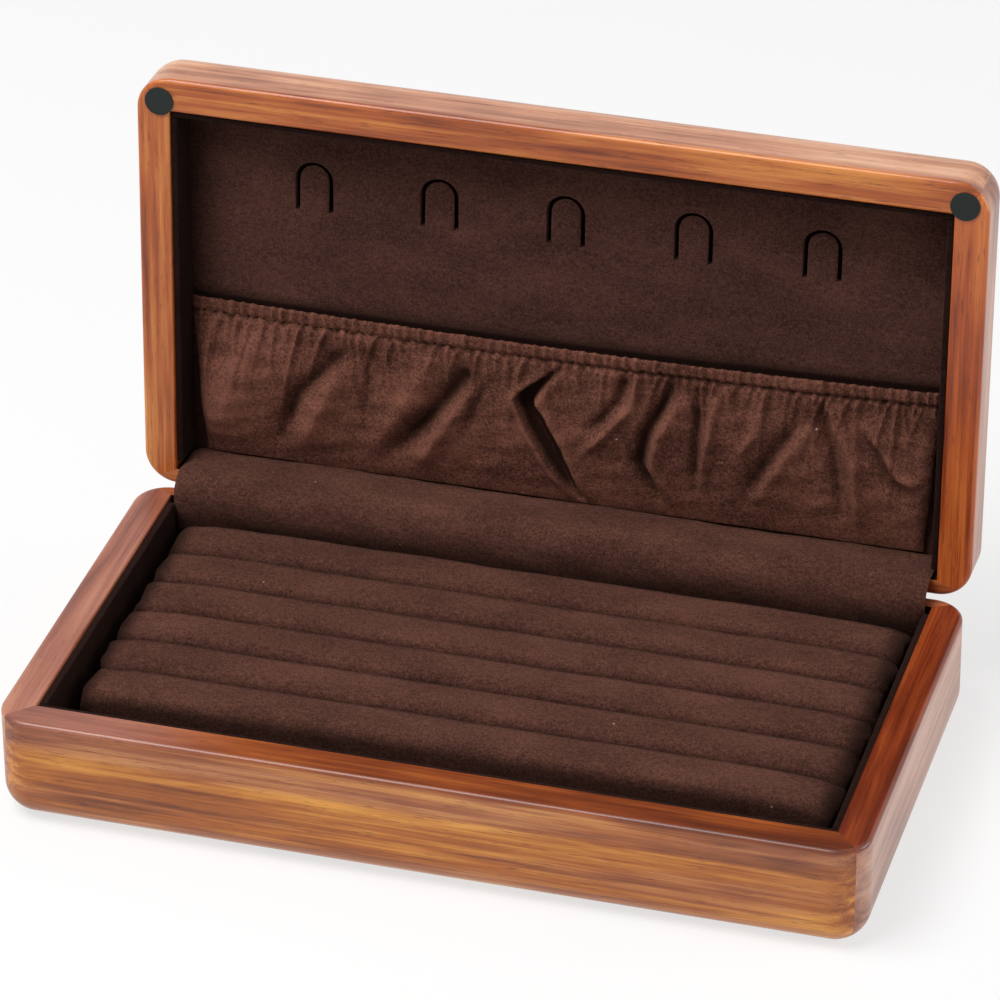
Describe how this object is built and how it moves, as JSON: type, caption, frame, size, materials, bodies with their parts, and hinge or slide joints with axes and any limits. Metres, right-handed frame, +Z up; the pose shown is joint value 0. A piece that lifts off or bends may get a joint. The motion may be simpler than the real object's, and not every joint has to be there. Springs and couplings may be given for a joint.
{
  "type": "ring display box",
  "caption": "Hinged wooden jewellery case shown open, lined in brown suede, with padded ring rolls in the base and chain hooks and a gathered pocket in the lid.",
  "frame": {"origin": "centre of the flat underside of the base", "axes": "+X to the viewer's right along the hinge, +Y from the front rail to the hinge, +Z up out of the base"},
  "size_m": [0.25, 0.1607, 0.1653],
  "materials": {
    "base_wood": "gloss varnish over golden to red-brown straight grain",
    "lid_wood": "gloss varnish over orange to red-brown straight grain",
    "lining_suede": "dark chocolate short-nap suede",
    "ring_roll_suede": "chocolate short-nap suede over foam",
    "cover_suede": "chocolate short-nap suede, lightly padded",
    "pocket_cloth": "soft chocolate suede cloth, gathered",
    "brass": "satin brass",
    "bumper_black": "matte black"
  },
  "bodies": {
    "base": {"base_front_rail": "base_wood", "base_back_rail": "base_wood", "base_left_rail": "base_wood", "base_right_rail": "base_wood", "base_bottom": "base_wood", "base_front_liner": "lining_suede", "base_left_liner": "lining_suede", "base_right_liner": "lining_suede", "base_floor_board": "lining_suede", "ring_roll_1": "ring_roll_suede", "ring_roll_2": "ring_roll_suede", "ring_roll_3": "ring_roll_suede", "ring_roll_4": "ring_roll_suede", "ring_roll_5": "ring_roll_suede", "ring_roll_6": "ring_roll_suede", "left_hinge_base_leaf": "brass", "right_hinge_base_leaf": "brass", "left_hinge_pin": "brass", "right_hinge_pin": "brass", "left_hinge_base_screw_1": "brass", "left_hinge_base_screw_2": "brass", "right_hinge_base_screw_1": "brass", "right_hinge_base_screw_2": "brass", "hinge_cover": "cover_suede"},
    "lid": {"lid_front_rail": "lid_wood", "lid_back_rail": "lid_wood", "lid_left_rail": "lid_wood", "lid_right_rail": "lid_wood", "lid_top": "lid_wood", "lid_front_liner": "lining_suede", "lid_left_liner": "lining_suede", "lid_right_liner": "lining_suede", "lid_board": "lining_suede", "left_hinge_lid_leaf": "brass", "right_hinge_lid_leaf": "brass", "left_hinge_lid_screw_1": "brass", "left_hinge_lid_screw_2": "brass", "right_hinge_lid_screw_1": "brass", "right_hinge_lid_screw_2": "brass", "pocket_cloth": "pocket_cloth", "pocket_hem": "pocket_cloth", "left_bumper": "bumper_black", "right_bumper": "bumper_black"},
    "hook_1": {"hook_1": "lining_suede"},
    "hook_2": {"hook_2": "lining_suede"},
    "hook_3": {"hook_3": "lining_suede"},
    "hook_4": {"hook_4": "lining_suede"},
    "hook_5": {"hook_5": "lining_suede"}
  },
  "joints": [
    {"name": "lid_hinge", "type": "hinge", "parent": "base", "child": "lid", "pos_m": [0, 0.06605, 0.03375], "axis": [1, 0, 0], "range_deg": [0, 93], "deforming": ["hinge_cover"]},
    {"name": "hook_1_flex", "type": "hinge", "parent": "lid", "child": "hook_1", "pos_m": [-0.0754, 0.08406, 0.12423], "axis": [1, 0, 0], "range_deg": [0, 15], "stiffness_Nm_per_rad": 0.004},
    {"name": "hook_2_flex", "type": "hinge", "parent": "lid", "child": "hook_2", "pos_m": [-0.0377, 0.08406, 0.12423], "axis": [1, 0, 0], "range_deg": [0, 15], "stiffness_Nm_per_rad": 0.004},
    {"name": "hook_3_flex", "type": "hinge", "parent": "lid", "child": "hook_3", "pos_m": [0, 0.08406, 0.12423], "axis": [1, 0, 0], "range_deg": [0, 15], "stiffness_Nm_per_rad": 0.004},
    {"name": "hook_4_flex", "type": "hinge", "parent": "lid", "child": "hook_4", "pos_m": [0.0377, 0.08406, 0.12423], "axis": [1, 0, 0], "range_deg": [0, 15], "stiffness_Nm_per_rad": 0.004},
    {"name": "hook_5_flex", "type": "hinge", "parent": "lid", "child": "hook_5", "pos_m": [0.0754, 0.08406, 0.12423], "axis": [1, 0, 0], "range_deg": [0, 15], "stiffness_Nm_per_rad": 0.004}
  ]
}
